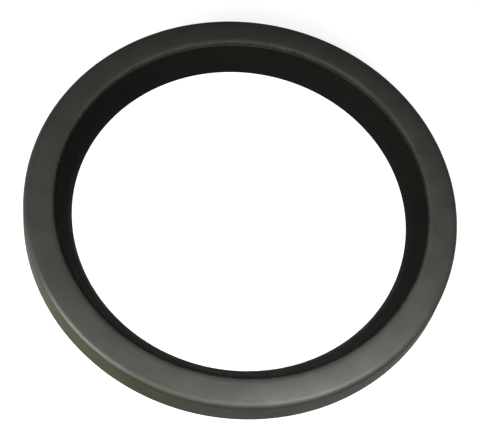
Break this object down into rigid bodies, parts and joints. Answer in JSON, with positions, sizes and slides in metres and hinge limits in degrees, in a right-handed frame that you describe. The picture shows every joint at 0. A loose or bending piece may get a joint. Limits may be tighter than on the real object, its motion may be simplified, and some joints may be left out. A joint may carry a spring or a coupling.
{
  "type": "radial shaft seal",
  "caption": "Rotary shaft lip seal: a pressed steel case ring with a moulded rubber lip and a garter spring, for a shaft running in a housing bore.",
  "frame": {"origin": "on the shaft's axis, in the plane of the case's free end, which the seal lies on", "axes": "+Z along the shaft's axis, from the oil side to the face on the air side; X and Y are any two directions across it, because the seal is round"},
  "size_m": [0.14, 0.14, 0.012],
  "materials": {
    "case_steel": "pressed sheet steel with a dark grey phosphate finish, satin",
    "nitrile_rubber": "black moulded nitrile rubber, matt",
    "spring_steel": "drawn spring wire, bright with an oil film"
  },
  "bodies": {
    "root": {"steel_case": "case_steel", "sealing_element": "nitrile_rubber", "garter_spring": "spring_steel"}
  },
  "joints": []
}
